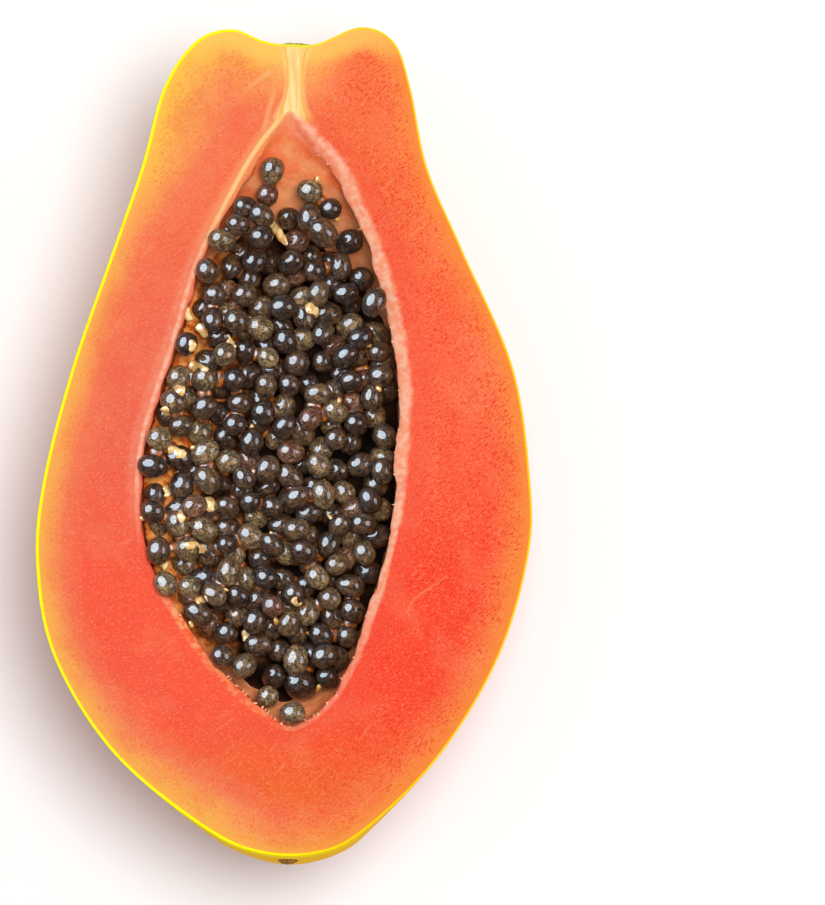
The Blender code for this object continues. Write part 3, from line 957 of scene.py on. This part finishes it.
def buildSeeds():
    group = seedTree()
    draw = random.Random(23)
    names = list(seedKinds)
    kindOf = [draw.choices(names, [seedKinds[n][0] for n in names])[0] for _ in seedPoints]
    turns = [[draw.uniform(0, 2 * math.pi) for _ in range(3)] for _ in seedPoints]
    longs = [draw.uniform(*heap["long"]) for _ in seedPoints]
    tones = [draw.random() for _ in seedPoints]
    for name in names:
        chosen = [i for i, kind in enumerate(kindOf) if kind == name]
        _, dark, light, coat, wetness = seedKinds[name]
        piece = scatter(name, group, seedPoints[chosen], {
            "turn": [turns[i] for i in chosen],
            "size": [(seedSizes[i], seedSizes[i] * 0.97, seedSizes[i] * longs[i]) for i in chosen],
            "tone": [tones[i] for i in chosen],
        }, {**shapeInputs(heap["taper"], *heap["lumps"]),
            "Seed Material": seedFinish(name, dark, light, coat, wetness)})
        finish(piece, "seeds", "seeds")


buildSeeds()


bits = {
    # how many, half width and half length, and shape: taper, lumps' height and size
    "stalks": 24, "stalkSize": (0.7 * mm, 1.15 * mm), "stalkShape": (0.06, 0.9 * mm, 1.1 * mm),
    "frays": 70, "fraySize": (0.22 * mm, 0.6 * mm), "frayShape": (0.16, 0.4 * mm, 0.7 * mm),
    "jellyGap": 1.12,  # seeds nearer than this share of touching are bridged by jelly
    "jellyDepth": 7 * mm, "jellyShape": (0.0, 0.5 * mm, 1.6 * mm),
    # strips of pulp lying on the heap, in millimetres: the two ends, half width
    "strips": [
        ((-21.8, 31.0), (-19.6, 27.4), 0.9), ((-27.6, 15.4), (-25.2, 12.8), 1.0),
        ((-27.4, -16.0), (-25.0, -18.6), 1.0), ((-4.2, 58.0), (1.4, 50.8), 0.95),
        ((-25.6, -24.2), (-19.6, -26.2), 0.9), ((-19.4, -12.2), (-19.0, -16.4), 1.2),
        ((-24.0, 21.0), (-18.8, 18.6), 1.2), ((-29.8, 10.4), (-28.8, 7.8), 1.1),
        ((-29.0, 0.2), (-24.4, -2.2), 1.2), ((-30.6, -9.6), (-28.8, -12.2), 1.1),
        ((-22.0, -39.0), (-19.0, -37.6), 0.9), ((-31.2, -28.6), (-29.6, -30.6), 0.9),
        ((-10.2, -45.6), (-9.4, -48.6), 0.9), ((2.6, -37.2), (4.2, -39.6), 0.8),
        ((-9.8, 66.0), (-8.6, 64.6), 0.6), ((-8.6, 65.0), (-8.8, 63.2), 0.5),
        ((-24.8, 35.4), (-23.8, 31.6), 1.0), ((4.8, 35.4), (8.6, 33.0), 1.3),
        ((-14.8, 28.4), (-12.2, 24.8), 0.8), ((-23.4, 27.0), (-23.0, 23.8), 0.9),
    ],
}


def heapTop(x, y):  # height of the seeds' tops at a place
    far = (seedPoints[:, 0] - x) ** 2 + (seedPoints[:, 1] - y) ** 2
    over = seedSizes ** 2 - far
    hit = over > 0
    if hit.any():
        return (seedPoints[hit, 2] + np.sqrt(over[hit])).max()
    return cutHeight + heapLevel(x, y) - 4 * mm


def buildStrips():  # knobbly closed strips
    draw = random.Random(5)
    points, faces = [], []
    sides, steps = 12, 14
    for (x0, y0), (x1, y1), wide in bits["strips"]:
        a, b = Vector((x0 * mm, y0 * mm, 0)), Vector((x1 * mm, y1 * mm, 0))
        run = b - a
        across = Vector((-run.y, run.x, 0)).normalized()
        base, wide = len(points), wide * 1.2 * mm
        heights = np.array([heapTop(*(a + run * t).xy) for t in np.linspace(0, 1, steps + 1)])
        heights = np.convolve(np.pad(heights, 3, mode="edge"), np.ones(7) / 7, "valid")
        bow, shift = draw.uniform(-0.7, 0.7) * mm, draw.uniform(0, 50)
        for i in range(steps + 1):
            t = i / steps
            middle = a + run * t + across * bow * math.sin(math.pi * t)
            middle.z = heights[i] - wide * 0.45
            thick = wide * max(1 - (2 * t - 1) ** 4, 0.0) ** 0.5
            for k in range(sides):
                angle = 2 * math.pi * k / sides
                out = across * math.cos(angle) + Vector((0, 0, math.sin(angle) * 0.7))
                swell = 1 + 0.55 * noise.noise((middle + out * wide) / (1.5 * mm) + Vector((shift, 0, 0)))
                points.append(middle + out * thick * swell)
        ends = len(points)
        sunk = heights - wide * 0.45
        points += [a + Vector((0, 0, sunk[0])), b + Vector((0, 0, sunk[-1]))]
        for i in range(1, steps - 1):
            for k in range(sides):
                m = (k + 1) % sides
                low = base + i * sides
                faces.append((low + k, low + m, low + sides + m, low + sides + k))
        for k in range(sides):
            m = (k + 1) % sides
            faces.append((ends, base + sides + m, base + sides + k))
            faces.append((ends + 1, base + (steps - 1) * sides + k, base + (steps - 1) * sides + m))
    used = sorted({v for f in faces for v in f})
    lookup = {old: new for new, old in enumerate(used)}
    return closedPiece("pulpStrips", [points[i] for i in used], [tuple(lookup[v] for v in f) for f in faces])


def turnTo(direction):
    return tuple(Vector(direction).to_track_quat("Z", "X").to_euler())


def pulpFinish(name, low, high, wetness):
    paint = Paint(name, **{"Roughness": 0.35, "Coat Weight": wetness, "Coat Roughness": 0.1})
    cloud = paint.noise(paint.spot, 700, 3)
    paint.colour = paint.mix(paint.step(cloud, 0.35, 0.65), low, high)
    normal = paint.bump(paint.noise(paint.spot, 1800, 3), 0.12 * mm, 0.6)
    return paint.feed(Base_Color=paint.colour, Normal=normal)


def buildBits():
    group, draw = seedTree(), random.Random(41)
    upper = [i for i, p in enumerate(seedPoints)
             if p[2] + seedSizes[i] > cutHeight + heapLevel(p[0], p[1]) - 3.5 * mm]

    def grow(name, spots, turns, sizes, shape, finishOf, replaced):
        fields = {"turn": [turnTo(t) for t in turns], "size": sizes}
        inputs = {**shapeInputs(*shape), "Seed Material": pulpFinish(name, *finishOf)}
        piece = scatter(name, group, spots, fields, inputs)
        finish(piece, "pulp", replaced)

    spots, turns, sizes = [], [], []
    for i in draw.sample(upper, min(bits["stalks"], len(upper))):
        angle, lift = draw.uniform(0, 2 * math.pi), draw.uniform(-0.25, 0.45)
        out = Vector((math.cos(angle) * math.cos(lift), math.sin(angle) * math.cos(lift), math.sin(lift)))
        spots.append(Vector(seedPoints[i]) + out * seedSizes[i] * 1.02)
        thick = bits["stalkSize"][0] * draw.uniform(0.7, 1.4)
        long = bits["stalkSize"][1] * draw.uniform(0.6, 1.3)
        turns.append(out + Vector([draw.uniform(-0.7, 0.7) for _ in range(3)]))
        sizes.append((thick, thick, long))
        draw.random()  # a spare draw
    grow("seedStalks", spots, turns, sizes, bits["stalkShape"],
         (tint(200, 138, 50), tint(236, 192, 100), 0.5), "seeds")

    spots, turns, sizes = [], [], []
    for a in range(len(seedPoints)):
        for b in range(a + 1, len(seedPoints)):
            gap = Vector(seedPoints[b]) - Vector(seedPoints[a])
            touch = seedSizes[a] + seedSizes[b]
            if gap.length > touch * bits["jellyGap"]:
                continue
            middle = (Vector(seedPoints[a]) + Vector(seedPoints[b])) / 2
            if middle.z < cutHeight + heapLevel(middle.x, middle.y) - bits["jellyDepth"]:
                continue
            leftness = np.interp(middle.x, [-30 * mm, 5 * mm], [0.75, 0.16])
            pool = math.hypot(middle.x - 8 * mm, middle.y + 20 * mm) < 11 * mm
            if draw.random() > max(leftness, 0.6 * pool):
                continue
            spots.append(middle - Vector((0, 0, touch * 0.16)))
            wide = touch * draw.uniform(0.26, 0.34)
            turns.append(gap)
            sizes.append((wide * 0.8, wide, gap.length * 0.30))
            draw.random()  # a spare draw
    grow("seedJelly", spots, turns, sizes, bits["jellyShape"],
         (tint(84, 40, 12), tint(182, 98, 24), 0.4), "seeds")

    spots, turns, sizes = [], [], []
    frayed = [j for j in range(len(columns)) if ways[j][0] > 0.3 or rim[j][1] < -38 * mm]
    for j in draw.choices(frayed, k=bits["frays"]):
        stray = Vector((draw.uniform(-0.6, 0.6), draw.uniform(-0.9, 0.9), draw.uniform(-0.1, 0.5)))
        off = Vector((draw.uniform(0.0, 0.5), draw.uniform(-0.4, 0.4), draw.uniform(-0.3, -0.05)))
        spots.append(Vector(ledgeEdge[j]) + off * mm)
        thick = bits["fraySize"][0] * draw.uniform(0.7, 1.6)
        long = bits["fraySize"][1] * draw.uniform(0.5, 1.5)
        turns.append(stray - Vector(ways[j]))
        sizes.append((thick, thick, long))
        draw.random()  # a spare draw
    grow("liningFrays", spots, turns, sizes, bits["frayShape"],
         (tint(250, 160, 112), tint(254, 206, 170), 0.3), "flesh")

    strips = buildStrips()
    strips.data.materials.append(pulpFinish("pulpStrips", tint(226, 166, 92), tint(255, 226, 158), 0.4))
    finish(strips, "pulp", "seeds")


buildBits()


# laid on the skin where a line from the place, going this way, comes out: place and way in millimetres,
# half width, height, dark and light colour
scars = {
    "stemScar": ((3.0, 90.0, 56.2), (0.0, 1.0, 0.0), 4.2, 0.6, tint(130, 124, 44), tint(224, 212, 88)),
    "blossomScar": ((0.8, -92.0, 55.4), (0.0, -1.0, 0.0), 2.3, 0.7, tint(88, 50, 8), tint(180, 116, 22)),
}


def buildScar(name, start, way, wide, tall):
    tree = pieceTree(papayaSkin)
    start, way = Vector(start) * mm, Vector(way).normalized()
    side = way.cross(Vector((0, 0, 1))).normalized()
    lift = side.cross(way)
    rings, sides = 9, 40
    top, bottom = [], []
    for i in range(rings + 1):
        for k in range(sides if i else 1):
            angle = 2 * math.pi * k / sides
            ragged = 1 + 0.16 * noise.noise(Vector((math.cos(angle), math.sin(angle), wide)) * 2.2)
            out = wide * mm * i / rings * ragged
            origin = start + side * math.cos(angle) * out * 1.25 + lift * math.sin(angle) * out * 0.8
            origin.z = min(origin.z, cutHeight - 0.6 * mm)
            place = tree.ray_cast(origin + way * 60 * mm, -way)[0]
            t = i / rings
            dome = (1 - t ** 3) * (0.55 + 0.45 * math.sin(min(t * 1.25, 1) * math.pi)) * tall * mm
            grit = 1 + 0.6 * noise.noise(place / (0.8 * mm))
            top.append(place + way * (dome * grit - 0.12 * mm * t ** 4))
            bottom.append(place - way * 0.3 * mm)
    count = len(top)
    faces = []
    for base, flip in ((0, False), (count, True)):
        for k in range(sides):
            m = (k + 1) % sides
            faces.append((base, base + 1 + m, base + 1 + k) if flip else (base, base + 1 + k, base + 1 + m))
            for i in range(rings - 1):
                low, high = base + 1 + i * sides, base + 1 + (i + 1) * sides
                face = (low + k, high + k, high + m, low + m)
                faces.append(face[::-1] if flip else face)
    edge = 1 + (rings - 1) * sides
    for k in range(sides):
        m = (k + 1) % sides
        faces.append((edge + k, count + edge + k, count + edge + m, edge + m))
    return closedPiece(name, top + bottom, faces)


def scarFinish(name, low, high):
    paint = Paint(name)
    grain = paint.noise(paint.spot, 1300, 4, 0.6)
    paint.colour = paint.mix(paint.step(grain, 0.35, 0.65), low, high)
    normal = paint.bump(grain, 0.3 * mm, 0.9)
    return paint.feed(Base_Color=paint.colour, Normal=normal, Roughness=0.6 + grain * 0.3)


for name, (start, way, wide, tall, dark, light) in scars.items():
    scar = buildScar(name, start, way, wide, tall)
    scar.data.materials.append(scarFinish(name, dark, light))
    finish(scar, "skin", "flesh")


def areaLight(name, shineOn=()):  # soft light on everything, or only the shine on a few pieces
    place, size, power, colour = studio[name]
    data = bpy.data.lights.new(name, "AREA")
    data.shape, data.size, data.energy, data.color = "DISK", size, power, colour
    lamp = link(name, data)
    lamp.location = place
    lamp.rotation_euler = (Vector((0, 0, 0.05)) - Vector(place)).to_track_quat("-Z", "Y").to_euler()
    lamp.visible_diffuse, lamp.visible_glossy = not shineOn, bool(shineOn)
    if shineOn:
        lamp.light_linking.receiver_collection = bpy.data.collections.new(name + "Only")
        for piece in shineOn:
            lamp.light_linking.receiver_collection.objects.link(piece)


def buildStudio():
    mesh = bpy.data.meshes.new("floor")
    wide, pale = studio["floorReach"], studio["floor"]
    corners = [(x * wide, y * wide, 0) for x, y in ((-1, -1), (1, -1), (1, 1), (-1, 1))]
    mesh.from_pydata(corners, [], [(0, 1, 2, 3)])
    white = Paint("floorWhite", **{"Base Color": (pale, pale, pale, 1), "Roughness": 0.8})
    mesh.materials.append(white.material)
    link("floor", mesh)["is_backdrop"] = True
    world = bpy.data.worlds.new("studio")
    world.use_nodes = True
    sky = world.node_tree.nodes["Background"].inputs
    sky[0].default_value, sky[1].default_value = (1, 1, 1, 1), studio["world"]
    bpy.context.scene.world = world
    world.cycles_visibility.glossy = False
    wet = [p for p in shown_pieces() if p.name.startswith(("seed", "pulp")) and p is not seedCore]
    areaLight("key")
    areaLight("window", wet)
    areaLight("windowRight", wet)
    areaLight("fleshSheen", [papayaFlesh, papayaSkin])
    bpy.context.scene.view_settings.view_transform = "Standard"
    camera = bpy.data.cameras.new("camera")
    camera.lens = camera.sensor_width * studio["cameraHeight"] / studio["frameHeight"]
    eye = link("camera", camera)
    eye.location = (studio["cameraX"], studio["cameraY"], cutHeight + studio["cameraHeight"])
    bpy.context.scene.camera = eye


buildStudio()
